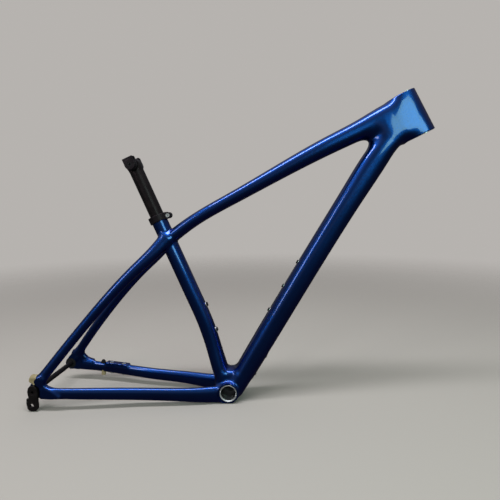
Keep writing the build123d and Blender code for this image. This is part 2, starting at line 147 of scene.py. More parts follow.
class Tube:
    """An oval tube along a smooth line. power 2 is an ellipse, and more is squarer."""

    def __init__(self, rows, side=1, power=2.0, step=1.5):
        rows = np.array(rows, float)
        rows[:, 1] *= side
        knots = np.concatenate([[0], np.cumsum(np.linalg.norm(np.diff(rows[:, :3], axis=0), axis=1))])
        count = int(knots[-1] / step) + 2
        data = spline(knots, rows, np.linspace(0, knots[-1], count))
        self.line = data[:, :3]
        self.along = np.gradient(self.line, axis=0)
        self.step = np.linalg.norm(self.along, axis=1).mean()
        self.along /= np.linalg.norm(self.along, axis=1)[:, None]
        across = vec(0, 1, 0) - self.along * self.along[:, 1:2]
        across /= np.linalg.norm(across, axis=1)[:, None]
        self.table = np.concatenate([self.line, self.along, across, data[:, 3:] / 2], axis=1)
        self.power = power
        reach = data[:, 3:].max() / 2 + TUBE_REACH
        self.low, self.high = self.line.min(0) - reach, self.line.max(0) + reach

    def read(self, u):
        """The table's row at u, which may lie between two rows."""
        i = np.minimum(u.astype(int), len(self.table) - 2)
        f = (u - i)[:, None]
        return self.table[i] * (1 - f) + self.table[i + 1] * f

    def __call__(self, points):
        """The tube's field: about the distance to its surface, negative inside."""
        coarse = self.line[::TRIAL_STEP]
        gaps = (points ** 2).sum(1)[:, None] - 2 * points @ coarse.T + (coarse ** 2).sum(1)[None]
        u = gaps.argmin(1) * float(TRIAL_STEP)
        last = len(self.table) - 1.001      # just short of the end, so that there is always a next row
        for _ in range(3):
            row = self.read(u)
            u = np.clip(u + dot(points - row[:, :3], row[:, 3:6]) / self.step, 0, last)
        row = self.read(u)
        away = points - row[:, :3]
        along = row[:, 3:6]
        across = row[:, 6:9]
        x = np.abs(dot(away, across)) / row[:, 9]
        y = np.abs(dot(away, np.cross(along, across))) / row[:, 10]
        n = self.power
        k = np.maximum((x ** n + y ** n) ** (1 / n), 1e-3)
        slope = k ** (1 - n) * np.hypot(x ** (n - 1) / row[:, 9], y ** (n - 1) / row[:, 10])
        beyond = np.abs(dot(away, along))
        side = (k - 1) / np.maximum(slope, 1e-4)
        dome = np.minimum(DOME, row[:, 9])
        ended = ((u <= 0) | (u >= last)) & (beyond > 0.01)
        return np.where(ended, np.hypot(np.maximum(side + dome, 0), beyond) - dome, side)


def near(shape, points, far=60.0):
    """A tube's field, worked out only close to it."""
    out = np.full(len(points), far)
    inside = ((points > shape.low) & (points < shape.high)).all(1)
    if inside.any():
        out[inside] = shape(points[inside])
    return out


def capped(side, cap, round_by):
    """The field of the space inside two others, with the edge between them rounded."""
    return np.hypot(np.maximum(side, 0), np.maximum(cap, 0)) + np.minimum(np.maximum(side, cap), 0) - round_by


def rod(points, start, end, r_start, r_end=None, round_by=0.0):
    """A round bar with flat ends, whose radius may change evenly."""
    length = np.linalg.norm(end - start)
    axis = (end - start) / length
    away = points - start
    t = dot(away, axis)
    radial = np.linalg.norm(away - t[:, None] * axis, axis=1)
    slope = ((r_start if r_end is None else r_end) - r_start) / length
    side = (radial - r_start - slope * np.clip(t, 0, length)) / np.hypot(1, slope) + round_by
    cap = np.abs(t - length / 2) - length / 2 + round_by
    return capped(side, cap, round_by)


def y_rod(points, x, z, y_from, y_to, radius, round_by=0.0):
    """A round bar across the bicycle."""
    low, high = sorted((y_from, y_to))
    return rod(points, vec(x, low, z), vec(x, high, z), radius, None, round_by)


def plate(points, outline, y_from, y_to, round_by=0.0):
    """A plate of a polygon in the XZ plane between two Y levels, with rounded edges."""
    low, high = sorted((y_from, y_to))
    corners = np.array(outline, float)
    p = points[:, [0, 2]]
    best = np.full(len(p), 1e9)
    inside = np.zeros(len(p), bool)
    for a, b in zip(corners, np.roll(corners, -1, axis=0)):
        edge = b - a
        away = p - a
        t = np.clip(dot(away, edge) / dot(edge, edge), 0, 1)
        best = np.minimum(best, ((away - t[:, None] * edge) ** 2).sum(1))
        crosses = (a[1] > p[:, 1]) != (b[1] > p[:, 1])
        side = (p[:, 1] - a[1]) * edge[0] / (edge[1] if edge[1] else 1e-9) + a[0]
        inside ^= crosses & (p[:, 0] < side)
    flat = np.where(inside, -1, 1) * np.sqrt(best) + round_by
    cap = np.abs(points[:, 1] - (low + high) / 2) - (high - low) / 2 + round_by
    return capped(flat, cap, round_by)


def block(points, middle, axes, half, round_by=0.0):
    """A box along three directions, with rounded edges."""
    local = np.abs((points - middle) @ np.array(axes).T) - np.array(half) + round_by
    return np.linalg.norm(np.maximum(local, 0), axis=1) + np.minimum(local.max(1), 0) - round_by


def join(a, b, k):
    """The union of two fields with a fillet about k wide."""
    h = np.maximum(k - np.abs(a - b), 0) / k
    return np.minimum(a, b) - h * h * k / 4


def cut(a, b, k=0.01):
    """Field a with b taken away, the edge softened over k."""
    return -join(-a, b, k)


def falling(points, centre, radius, near_k, far_k):
    """A fillet width that is near_k at a place and falls to far_k a radius away."""
    t = np.clip(1 - np.linalg.norm((points - centre)[:, [0, 2]], axis=1) / radius, 0, 1)
    return far_k + (near_k - far_k) * t * t * (3 - 2 * t)


# ------------ the painted shell
top_tube = Tube(TOP_TUBE, power=2.3)
down_tube = Tube(DOWN_TUBE, power=2.5)
seat_tube = Tube(SEAT_TUBE)
chainstays = {s: Tube(CHAINSTAY, s, power=2.3) for s in (1, -1)}
seatstays = {s: Tube(SEATSTAY, s, power=2.2) for s in (1, -1)}
BRAKE_ALONG = unit(vec(-93, 12, 14.5))
BRAKE_UP = unit(vec(0, 0, 1) - BRAKE_ALONG * BRAKE_ALONG[2])
BRAKE_ACROSS = np.cross(BRAKE_UP, BRAKE_ALONG)
BRAKE_MIDDLE = vec(-298, 68.3, 41.2)

# Outlines in x and z: the web above the bracket, and a dropout's thick and thin parts. The gusset is the
# thick part's upper front edge, which differs between the sides.
WEB = [(-30, 20), (-8, 43), (22, 43), (44, 26), (24, 0), (-20, 0)]
WEB_HALF = 20
GUSSET = {1: [(-366, 66), (-381, 74), (-390, 86), (-389, 97)],
          -1: [(-388, 65), (-394, 71), (-398, 79), (-396, 89)]}
THICK = [(-415, 97), (-421, 84), (-410, 70), (-406, 62), (-409, 49), (-388, 46), (-368, 46)]
THIN = [(-413, 90), (-427, 84), (-436, 71), (-436, 58), (-430, 49), (-408, 47), (-408, 90)]

# Corners whose fillet is wide: the place, how far it reaches, its width at the place and its width beyond.
FRONT_CORNER = (vec(372, 0, 532), 90, 34, 6)         # the top and down tubes, behind the head
SEAT_CORNER = (vec(6, 0, 44), 60, 20, 4)             # the down and seat tubes, above the bracket
REAR_CORNER = (vec(-385, 0, 86), 60, 24, 4)          # the left stays
# The widths of the other fillets.
HEAD_FILLET = 24
HEAD_WEB_FILLET = 26
STAYS_FILLET = 16
CROWN_FILLET = 7
WEB_FILLET = 14
BRACKET_FILLET = 7
BRAKE_FILLET = 7
RIGHT_STAYS_FILLET = 5
DROPOUT_FILLET = 11
REAR_FILLET = 9

HEAD_WEB = (vec(398, 0, 548), vec(452, 0, 566), 17, 27, 8)      # a bar that fills out the back of the head
HEAD_WIDER = 5.4         # how much further out the head's flat sides are at its foot than at its top
SIDES_X = 392            # behind this the flat sides curve outward, clear of the tubes
SIDES_CURVE = 0.004
FOOT_X = 447             # behind this the plane of the head's foot curves down, clear of the down tube
FOOT_SLOPE = 0.3
FOOT_CURVE = 0.05
TOP_X = 250              # behind this the plane of the head's top rises, clear of the seat tube
EYE_SPACE_R = 17.8       # the space kept clear outside the dropouts' thin plates
HUB_SPACE_R = 30         # and between them


def dropout(points, side):
    """The dropout's thick part at the stays and its thin plate round the axle."""
    body = plate(points, GUSSET[side] + THICK, 75 * side, 86 * side, 2.5)
    body = join(body, plate(points, THIN, HUB_HALF * side, PLATE_Y * side, 1.2), 2)
    return join(body, y_rod(points, AXLE[0], AXLE[2], HUB_HALF * side, PLATE_Y * side, EYE_R, 1.2), 2)


def with_head(points, tubes):
    """The front tubes with the head on them, its sides flat and its ends cut square to its axis."""
    out = join(tubes, rod(points, HEAD_BOTTOM, HEAD_TOP, HEAD_R_BOTTOM, HEAD_R_TOP, 0.8), HEAD_FILLET)
    out = join(out, rod(points, *HEAD_WEB), HEAD_WEB_FILLET)
    x = points[:, 0]
    below_top = dot(HEAD_TOP - points, HEAD_AXIS)
    down_head = np.clip(below_top, 0, HEAD_LENGTH) / HEAD_LENGTH
    sides = HEAD_R_TOP + HEAD_WIDER * down_head + SIDES_CURVE * np.maximum(SIDES_X - x, 0) ** 2
    out = cut(out, sides - np.abs(points[:, 1]), 5)
    out = cut(out, below_top + np.maximum(TOP_X - x, 0), 2)
    behind = np.maximum(FOOT_X - x, 0)
    foot = dot(points - HEAD_BOTTOM, HEAD_AXIS) + FOOT_SLOPE * behind + FOOT_CURVE * behind ** 2
    return cut(out, foot, 2)


def rear_end(points, side):
    """The stays and the dropout of one side, with the brake's pad on the left chainstay."""
    stay = near(chainstays[side], points)
    width = RIGHT_STAYS_FILLET
    if side > 0:
        pad = block(points, BRAKE_MIDDLE + BRAKE_UP * 9.5, (BRAKE_ALONG, BRAKE_ACROSS, BRAKE_UP),
                    (30, 7.5, 5.5), 1.2)
        stay = join(stay, pad, BRAKE_FILLET)
        width = falling(points, *REAR_CORNER)
    end = join(near(seatstays[side], points), stay, width)
    end = join(end, dropout(points, side), DROPOUT_FILLET)
    beside = y_rod(points, AXLE[0], AXLE[2], (PLATE_Y + 0.05) * side, 110 * side, EYE_SPACE_R)
    return cut(end, beside, 1)


def shell(points):
    """The whole painted shell's field."""
    out = join(near(top_tube, points), near(down_tube, points), falling(points, *FRONT_CORNER))
    out = with_head(points, out)
    seat = cut(near(seat_tube, points), dot(SEAT_TOP - points, SEAT_AXIS))
    out = join(out, seat, falling(points, *SEAT_CORNER))
    crown = join(near(seatstays[1], points), near(seatstays[-1], points), STAYS_FILLET)
    out = join(out, crown, CROWN_FILLET)
    out = join(out, plate(points, WEB, -WEB_HALF, WEB_HALF, 6), WEB_FILLET)
    out = join(out, y_rod(points, 0, 0, -SHELL_HALF, SHELL_HALF, SHELL_R, 1), BRACKET_FILLET)
    for side in (1, -1):
        out = join(out, rear_end(points, side), REAR_FILLET)
    out = cut(out, y_rod(points, AXLE[0], AXLE[2], -HUB_HALF, HUB_HALF, HUB_SPACE_R))
    for side in (1, -1):
        out = cut(out, y_rod(points, 0, 0, SHELL_HALF * side, 90 * side, SHELL_R + 0.4), 0.5)
    out = cut(out, FRAME_HALF - np.abs(points[:, 1]), 2)
    return cut(out, points[:, 2] + SHELL_R - 0.05, 2)


# ------------ meshing
def in_parts(field, points, size=150000):
    """A field at many points, a part of them at a time to save memory."""
    return np.concatenate([field(points[i:i + size]) for i in range(0, len(points), size)])


def slope_of(field, points, value, step=0.02):
    """The unit direction in which a field grows fastest."""
    out = np.stack([in_parts(field, points + np.eye(3)[a] * step) - value for a in range(3)], axis=1)
    return out / np.maximum(np.linalg.norm(out, axis=1), 1e-9)[:, None]


BLOCK = 8              # cells along a block. Blocks that the surface can't cross are passed over
BLOCK_REACH = 1.05     # in blocks, how near a block's centre the surface has to be
HOLD = 0.02            # how firmly a vertex is held to the middle of its cell's crossings
AGREED = 0.97          # above this a cell's normals agree, so it holds no edge of the surface


def sampled(field, low, size, cell):
    """The field on the grid's nodes, in the blocks that the surface may cross. Elsewhere it is nan."""
    blocks = size // BLOCK
    centres = np.stack(np.meshgrid(*[np.arange(n) for n in blocks], indexing="ij"), -1).reshape(-1, 3)
    d = in_parts(field, low + (centres + 0.5) * BLOCK * cell)
    centres = centres[np.abs(d) < BLOCK * cell * BLOCK_REACH]
    wanted = np.zeros(size + 1, bool)
    for i, j, k in centres * BLOCK:
        wanted[i:i + BLOCK + 1, j:j + BLOCK + 1, k:k + BLOCK + 1] = True
    value = np.full(size + 1, np.nan, np.float32)
    value[wanted] = in_parts(field, low + np.argwhere(wanted) * cell)
    return value


def crossings(value, size):
    """Where the surface crosses the grid's edges, counted in cells, and the four cells round each place."""
    found = []
    for axis in range(3):
        first = [slice(None)] * 3
        second = [slice(None)] * 3
        first[axis] = slice(0, -1)
        second[axis] = slice(1, None)
        a, b = value[tuple(first)], value[tuple(second)]
        at = np.argwhere(((a < 0) != (b < 0)) & ~np.isnan(a) & ~np.isnan(b))
        inner = np.delete(at, axis, 1)
        at = at[((inner > 0) & (inner < np.delete(size, axis))).all(1)]
        va = a[tuple(at.T)].astype(float)
        vb = b[tuple(at.T)].astype(float)
        place = at.astype(float)
        place[:, axis] += va / (va - vb)
        u, w = np.eye(3, dtype=int)[(axis + 1) % 3], np.eye(3, dtype=int)[(axis + 2) % 3]
        found.append((place, np.stack([at, at - u, at - u - w, at - w], axis=1)))
    return [np.concatenate(f) for f in zip(*found)]


def contour(field, low, high, cell):
    """Vertices and quads of the surface where a field is zero, with its edges kept sharp."""
    size = np.ceil((high - low) / (cell * BLOCK)).astype(int) * BLOCK
    place, around = crossings(sampled(field, low, size, cell), size)
    place = low + place * cell
    normal = slope_of(field, place, in_parts(field, place))
    ids = (around[..., 0] * size[1] + around[..., 1]) * size[2] + around[..., 2]
    cells, quads = np.unique(ids.ravel(), return_inverse=True)
    quads = quads.reshape(-1, 4)
    owner = quads.ravel()
    many = np.bincount(owner)

    def total(values):
        return np.bincount(owner, np.repeat(values, 4))

    # Each vertex goes as near as it can to all the tangent planes of its cell's crossings.
    middle = np.stack([total(place[:, a]) for a in range(3)], 1) / many[:, None]
    push = dot(normal, place)
    square = np.stack([[total(normal[:, a] * normal[:, b]) for b in range(3)] for a in range(3)])
    square = square.transpose(2, 0, 1)
    right = np.stack([total(normal[:, a] * push) for a in range(3)], 1)
    right -= np.einsum("nij,nj->ni", square, middle)
    square = square + np.eye(3) * (HOLD * many)[:, None, None]
    shift = np.linalg.solve(square, right[..., None])[..., 0]
    cell_low = low + np.stack(np.unravel_index(cells, tuple(size)), 1) * cell
    points = np.clip(middle + shift, cell_low, cell_low + cell)

    # Away from edges, the vertices are then moved on to the surface.
    mean = np.stack([total(normal[:, a]) for a in range(3)], 1)
    smooth = np.linalg.norm(mean, axis=1) / many > AGREED
    for _ in range(2):
        d = in_parts(field, points[smooth])
        points[smooth] -= np.clip(d, -cell / 2, cell / 2)[:, None] * slope_of(field, points[smooth], d)
    corner = points[quads]
    facing = np.cross(corner[:, 2] - corner[:, 0], corner[:, 3] - corner[:, 1])
    backward = dot(facing, normal) < 0
    quads[backward] = quads[backward][:, ::-1]
    return points, quads


def linked(name, data):
    """A new object of the scene."""
    obj = bpy.data.objects.new(name, data)
    bpy.context.scene.collection.objects.link(obj)
    return obj


def new_object(name, points, faces):
    """A mesh object from points in millimetres."""
    mesh = bpy.data.meshes.new(name)
    faces = faces.tolist() if isinstance(faces, np.ndarray) else faces
    mesh.from_pydata((np.asarray(points) * MM).tolist(), [], faces)
    mesh.validate()
    return linked(name, mesh)


def smooth_shading(obj, angle=32):
    """Smooth shading, except over edges sharper than an angle in degrees."""
    obj.data.shade_smooth()
    obj.data.set_sharp_from_angle(angle=radians(angle))


def face_outward(obj):
    """The same object, with its faces turned outward."""
    bm = bmesh.new()
    bm.from_mesh(obj.data)
    bmesh.ops.recalc_face_normals(bm, faces=bm.faces)
    bm.to_mesh(obj.data)
    bm.free()
    return obj


def revolve(name, profile, origin, axis, segments=72):
    """A closed turned form. profile is a closed line of (radius, distance along the axis)."""
    axis = unit(np.asarray(axis, float))
    aside = unit(np.cross(axis, vec(0, 1, 0) if abs(axis[1]) < 0.9 else vec(1, 0, 0)))
    third = np.cross(axis, aside)
    points = []
    rings = []
    for r, t in profile:
        base = np.asarray(origin, float) + axis * t
        if r == 0:
            rings.append([len(points)])
            points.append(base)
            continue
        rings.append(list(range(len(points), len(points) + segments)))
        for k in range(segments):
            turn = 2 * np.pi * k / segments
            points.append(base + r * (aside * cos(turn) + third * sin(turn)))
    faces = []
    for i, ring in enumerate(rings):
        after = rings[(i + 1) % len(rings)]
        a, b = len(ring), len(after)
        if a == b == 1:
            continue
        for k in range(segments):
            n = (k + 1) % segments
            faces.append(list(dict.fromkeys((ring[k % a], ring[n % a], after[n % b], after[k % b]))))
    return face_outward(new_object(name, points, faces))


def cylinder(name, start, end, radius, segments=72):
    """A round bar's mesh between two points."""
    length = np.linalg.norm(end - start)
    return revolve(name, [(0, 0), (radius, 0), (radius, length), (0, length)], start, end - start, segments)


def box_mesh(name, middle, axes, half):
    """A box along three directions, with its half lengths along them."""
    corners = [middle + axes[0] * half[0] * a + axes[1] * half[1] * b + axes[2] * half[2] * c
               for a in (-1, 1) for b in (-1, 1) for c in (-1, 1)]
    faces = [(0, 1, 3, 2), (4, 6, 7, 5), (0, 4, 5, 1), (2, 3, 7, 6), (0, 2, 6, 4), (1, 5, 7, 3)]
    return face_outward(new_object(name, corners, faces))


def cut_away(obj, cutters):
    """Take the cutters' space out of an object's mesh. The cutters don't outlive it."""
    with bpy.context.temp_override(active_object=cutters[0], selected_editable_objects=cutters):
        bpy.ops.object.join()
    modifier = obj.modifiers.new("cut", "BOOLEAN")
    modifier.operation = "DIFFERENCE"
    modifier.solver = "EXACT"
    modifier.object = cutters[0]
    graph = bpy.context.evaluated_depsgraph_get()
    mesh = bpy.data.meshes.new_from_object(obj.evaluated_get(graph))
    obj.modifiers.clear()
    obj.data = mesh
    bpy.data.objects.remove(cutters[0])


# What is bored out of the shell: profiles of (radius, distance along the bore's axis), and radii.
HEAD_BORE = [(0, -5), (27.65, -5), (27.65, 11.4), (23.65, 11.4),
             (18.55, 84.6), (22.55, 84.6), (22.55, 101), (0, 101)]
HANGER_BORE = [(0, -100), (8, -100), (8, -76.4), (11.3, -76.4), (11.3, -60), (0, -60)]
AXLE_BORE_R = 6.05
BRAKE_BORE_R = 5.0
BRAKE_HALF_SPACING = 17
POST_HOLE_Z = 213              # how far down the seat tube the post's bore goes


def shell_bores():
    """Everything bored out of the painted shell."""
    hub = vec(AXLE[0], 0, AXLE[2])
    out = [revolve("bore", HEAD_BORE, HEAD_BOTTOM, HEAD_AXIS, 96),
           cylinder("bore", vec(0, -60, 0), vec(0, 60, 0), SLEEVE_R, 96),
           cylinder("bore", on_seat_axis(POST_HOLE_Z), SEAT_TOP + SEAT_AXIS * 10, POST_R + 0.05, 96),
           revolve("bore", HANGER_BORE, hub, vec(0, 1, 0)),
           cylinder("bore", hub + vec(0, 60, 0), hub + vec(0, 100, 0), AXLE_BORE_R)]
    for k in (-1, 1):
        p = BRAKE_MIDDLE + BRAKE_ALONG * BRAKE_HALF_SPACING * k
        out.append(cylinder("bore", p - BRAKE_UP * 40, p + BRAKE_UP * 40, BRAKE_BORE_R, 40))
    return out


def seam_at(tube, place, reach):
    """Where two mouldings meet: the tube's nearest point, its direction, and how far the cut reaches."""
    i = np.linalg.norm(tube.line - np.array(place, float), axis=1).argmin()
    return tube.line[i], tube.along[i], reach


SEAMS = [seam_at(top_tube, (338, 0, 550), 42), seam_at(down_tube, (358, 0, 460), 46),
         seam_at(top_tube, (-64, 0, 386), 30), seam_at(seat_tube, (-21, 0, 74), 34),
         seam_at(down_tube, (52, 0, 52), 42)]
# A place on each moulding, by the node that the moulding stands for.
MOULDINGS = {"head_tube": HEAD_TOP, "top_tube": vec(170, 0, 485), "down_tube": vec(212, 0, 270),
             "seat_tube": vec(-60, 0, 230), "bottom_bracket_junction": vec(0, 0, 20)}
for side, side_name in SIDES:
    SEAMS += [seam_at(seatstays[side], (-140, 26 * side, 331), 20),
              seam_at(seatstays[side], (-345, 65 * side, 150), 16),
              seam_at(chainstays[side], (-72, 39 * side, 5), 24),
              seam_at(chainstays[side], (-346, 74 * side, 48), 20)]
    MOULDINGS["chainstay_" + side_name] = vec(-196, 53 * side, 24)
    MOULDINGS["seatstay_" + side_name] = vec(-236, 47 * side, 254)
    MOULDINGS["dropout_" + side_name] = vec(-410, 80 * side, 75)


def mouldings(obj):
    """The shell divided at its seams: a piece for each node, with its ends still open.

    Dictionaries stand in for sets here, because they keep the same order in every run.
    """
    bm = bmesh.new()
    bm.from_mesh(obj.data)
    seam_edges = []
    for place, along, reach in SEAMS:
        place, along = Vector(place * MM), Vector(along)
        faces = [f for f in bm.faces if (f.calc_center_median() - place).length < reach * MM]
        geom = dict.fromkeys(faces)
        for f in faces:
            geom.update(dict.fromkeys([*f.edges, *f.verts]))
        done = bmesh.ops.bisect_plane(bm, geom=list(geom), plane_co=place, plane_no=along, dist=1e-7)
        seam_edges += [e for e in done["geom_cut"] if isinstance(e, bmesh.types.BMEdge)]
    bmesh.ops.split_edges(bm, edges=[e for e in dict.fromkeys(seam_edges) if e.is_valid])
    bm.faces.ensure_lookup_table()
    seen = set()
    out = {}
    for start in bm.faces:
        if start.index in seen:
            continue
        island = []
        stack = [start]
        seen.add(start.index)
        while stack:
            face = stack.pop()
            island.append(face)
            for edge in face.edges:
                for other in edge.link_faces:
                    if other.index not in seen:
                        seen.add(other.index)
                        stack.append(other)
        verts = list(dict.fromkeys(v for f in island for v in f.verts))
        spots = np.array([v.co for v in verts]) / MM
        gaps = {n: np.linalg.norm(spots - p, axis=1).min() for n, p in MOULDINGS.items()}
        name = min(gaps, key=gaps.get)
        number = {v: i for i, v in enumerate(verts)}
        out.setdefault(name, []).append((spots, [[number[v] for v in f.verts] for f in island]))
    bm.free()
    pieces = {}
    for name, islands in out.items():
        spots, faces = max(islands, key=lambda i: len(i[1]))
        pieces[name] = new_object(name + "_shell", spots, faces)
    return pieces


def close(obj):
    """Fill a moulding's flat ends."""
    bm = bmesh.new()
    bm.from_mesh(obj.data)
    open_edges = [e for e in bm.edges if len(e.link_faces) == 1]
    if open_edges:
        made = bmesh.ops.holes_fill(bm, edges=open_edges, sides=0)
        bmesh.ops.triangulate(bm, faces=made["faces"])
    bmesh.ops.recalc_face_normals(bm, faces=bm.faces)
    bm.to_mesh(obj.data)
    bm.free()


OFF_FIELD = 0.06       # a corner further than this from the field's surface keeps its mesh normal
FACE_AGREES = 0.8      # so does one whose face leans this far from the field's direction, as a cosine


def shade_from_field(obj, field):
    """Smooth shading whose normals come from the field, so that seams don't show."""
    smooth_shading(obj)
    mesh = obj.data
    n = len(mesh.loops)
    corner = np.zeros(n * 3, np.float32)
    mesh.corner_normals.foreach_get("vector", corner)
    corner = corner.reshape(-1, 3)
    of_vertex = np.zeros(n, np.int32)
    mesh.loops.foreach_get("vertex_index", of_vertex)
    spots = np.zeros(len(mesh.vertices) * 3, np.float32)
    mesh.vertices.foreach_get("co", spots)
    spots = spots.reshape(-1, 3).astype(float) / MM
    value = in_parts(field, spots)
    slope = slope_of(field, spots, value, 0.05)
    face = np.zeros(len(mesh.polygons) * 3, np.float32)
    mesh.polygon_normals.foreach_get("vector", face)
    sizes = np.zeros(len(mesh.polygons), np.int32)
    mesh.polygons.foreach_get("loop_total", sizes)
    face = np.repeat(face.reshape(-1, 3), sizes, axis=0)
    good = (np.abs(value[of_vertex]) < OFF_FIELD) & (dot(face, slope[of_vertex]) > FACE_AGREES)
    corner[good] = slope[of_vertex][good]
    mesh.normals_split_custom_set(corner.tolist())


SHELL_LOW = vec(-460, -96, -34)
SHELL_HIGH = vec(520, 96, 640)
cell = 2.0
whole = new_object("whole_shell", *contour(shell, SHELL_LOW, SHELL_HIGH, cell))
cut_away(whole, shell_bores())
cut_away(whole, [box_mesh("slot", SEAT_TOP + SEAT_AHEAD * 17 - SEAT_AXIS * 6, SEAT_AXES, (10, 1, 20))])
skins = mouldings(whole)
bpy.data.objects.remove(whole)
for node, piece in skins.items():
    close(piece)
    shade_from_field(piece, shell)
    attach(piece, "frame")
    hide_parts(node)


# ------------ the smaller parts
POST_HEAD = on_seat_axis(537.5)
POST_TOP_Z = 514.0
POST_FOOT_Z = 250.0
CLAMP_HOLE_R = 3.1             # the saddle clamp's bolt hole
RAIL_Y = 22.0
RAIL_RISE = 10.0               # the saddle's rails, above the clamp bolt
RAIL_R = 3.5
CHEEK_TOP = 16.5
COLLAR_R = 21.8
COLLAR_BOLT_R = 2.6
EAR_CENTRE = SEAT_TOP + SEAT_AHEAD * 25.2 - SEAT_AXIS * 9.0


def formed(name, field, low, high, size, body, node, slot):
    """A small piece from its field, standing for one node."""
    obj = new_object(name, *contour(field, low, high, size * (1)))
    smooth_shading(obj)
    return placed(obj, body, node)


def placed(obj, body, node):
    """The same object, riding its body and standing for its node."""
    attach(obj, body)
    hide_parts(node)
    return obj


neck = Tube([seat_row(z, w, d) for z, w, d in ((500, 31.6, 31.6), (507, 31.6, 31.6), (514, 31.6, 31.6),
                                               (521, 31, 31.6), (530, 27, 31), (538, 24, 29))], step=0.6)


def post_head(points):
    """The post's head: a neck out of the tube, a round middle between the cheeks and a hole for the bolt."""
    x, z = POST_HEAD[0], POST_HEAD[2]
    out = join(near(neck, points), y_rod(points, x, z, -12, 12, 15, 1.2), 7)
    for side in (1, -1):
        out = cut(out, y_rod(points, x, z, 12 * side, 40 * side, 13.8), 0.8)
    out = cut(out, dot(points - on_seat_axis(POST_TOP_Z), SEAT_AXIS))
    return cut(out, y_rod(points, x, z, -30, 30, CLAMP_HOLE_R))


def cheek(points, y_from, y_to, radius, recess=None):
    """A cheek of the saddle clamp, round below and square above, with its groove for the rail.

    recess says where a wider hole for the bolt's head or nut begins and ends.
    """
    x, z = POST_HEAD[0], POST_HEAD[2]
    low, high = sorted((y_from, y_to))
    out = y_rod(points, x, z, low, high, radius, 1.3)
    middle = POST_HEAD + SEAT_AXIS * (CHEEK_TOP / 2) + vec(0, (low + high) / 2, 0)
    out = join(out, block(points, middle, SEAT_AXES, (radius, (high - low) / 2, CHEEK_TOP / 2), 1.3), 1)
    rail = POST_HEAD + SEAT_AXIS * RAIL_RISE
    for side in (1, -1):
        groove = rail + vec(0, RAIL_Y * side, 0)
        out = cut(out, rod(points, groove - SEAT_AHEAD * 40, groove + SEAT_AHEAD * 40, RAIL_R), 0.4)
    out = cut(out, y_rod(points, x, z, -40, 40, CLAMP_HOLE_R))
    if recess:
        out = cut(out, y_rod(points, x, z, recess[0], recess[1], 5.2), 0.2)
    return out


def inner_cheeks(points):
    """The clamp's two inner cheeks, on either side of the post's head."""
    return np.minimum(cheek(points, 12.05, 21.25, 13), cheek(points, -12.05, -21.25, 13))


def collar(points):
    """The split seat clamp with its two ears."""
    top = SEAT_TOP + SEAT_AXIS * 0.8
    out = rod(points, top - SEAT_AXIS * 15, top, COLLAR_R, None, 1.1)
    ears = y_rod(points, EAR_CENTRE[0], EAR_CENTRE[2], -8, 8, 7, 0.9)
    root = SEAT_TOP + SEAT_AHEAD * 17.6 - SEAT_AXIS * 6.7
    ears = join(ears, block(points, root, SEAT_AXES, (7.6, 8, 6.5), 0.9), 2)
    out = join(out, ears, 3)
    out = cut(out, rod(points, top - SEAT_AXIS * 30, top + SEAT_AXIS * 5, SEAT_R + 0.05), 0.3)
    out = cut(out, block(points, SEAT_TOP + SEAT_AHEAD * 40, SEAT_AXES, (38, 1.2, 40)), 0.3)
    return cut(out, y_rod(points, EAR_CENTRE[0], EAR_CENTRE[2], -20, 20, COLLAR_BOLT_R))


# The hanger's lobes, above and below the axle, in x and z.
UP_LOBE = [(-436, 52), (-436.5, 66), (-433, 75), (-427, 79), (-419, 78), (-414, 72),
           (-413.5, 60), (-416, 47), (-436, 47)]
LOW_LOBE = [(-441, 50), (-443, 40), (-442.5, 28), (-439, 22.5), (-433, 20), (-424, 20.5),
            (-419, 24), (-417, 31), (-416, 50)]
BOSS_R = 7.95
HANGER_BOLT_R = 6.95
DERAILLEUR_X, DERAILLEUR_Z, DERAILLEUR_R = -431.5, 33.5, 4.5


def hanger(points):
    """The two-lobed hanger with its boss and the derailleur's hole."""
    x, z = AXLE[0], AXLE[2]
    out = join(plate(points, UP_LOBE, -88, -81.1, 1.5), plate(points, LOW_LOBE, -88, -81.6, 1.5), 1)
    out = join(out, y_rod(points, x, z, -82, -76.4, BOSS_R, 0.3), 1)
    out = cut(out, y_rod(points, x, z, -100, -60, AXLE_BORE_R), 0.5)
    out = cut(out, y_rod(points, x, z, -84, -60, HANGER_BOLT_R), 0.2)
    out = cut(out, y_rod(points, DERAILLEUR_X, DERAILLEUR_Z, -100, -60, DERAILLEUR_R), 0.8)
    return np.maximum(out, -FRAME_HALF - points[:, 1])


def port_plug(points):
    """The soft plug behind the right dropout: a flange against the stay and a blunt nose."""
    foot, nose = vec(-411, -79, 87), vec(-428, -79, 94)
    ahead = (nose - foot) / np.linalg.norm(nose - foot)
    out = rod(points, foot, nose, 10.6, 9.4, 3.4)
    out = join(out, rod(points, foot + ahead * 3, foot + ahead * 7.5, 11.8, None, 1.6), 1.5)
    return np.maximum(out, -87.4 - points[:, 1])


def around(centre, *half):
    """The low and high corners of a box."""
    return centre - np.array(half, float), centre + np.array(half, float)


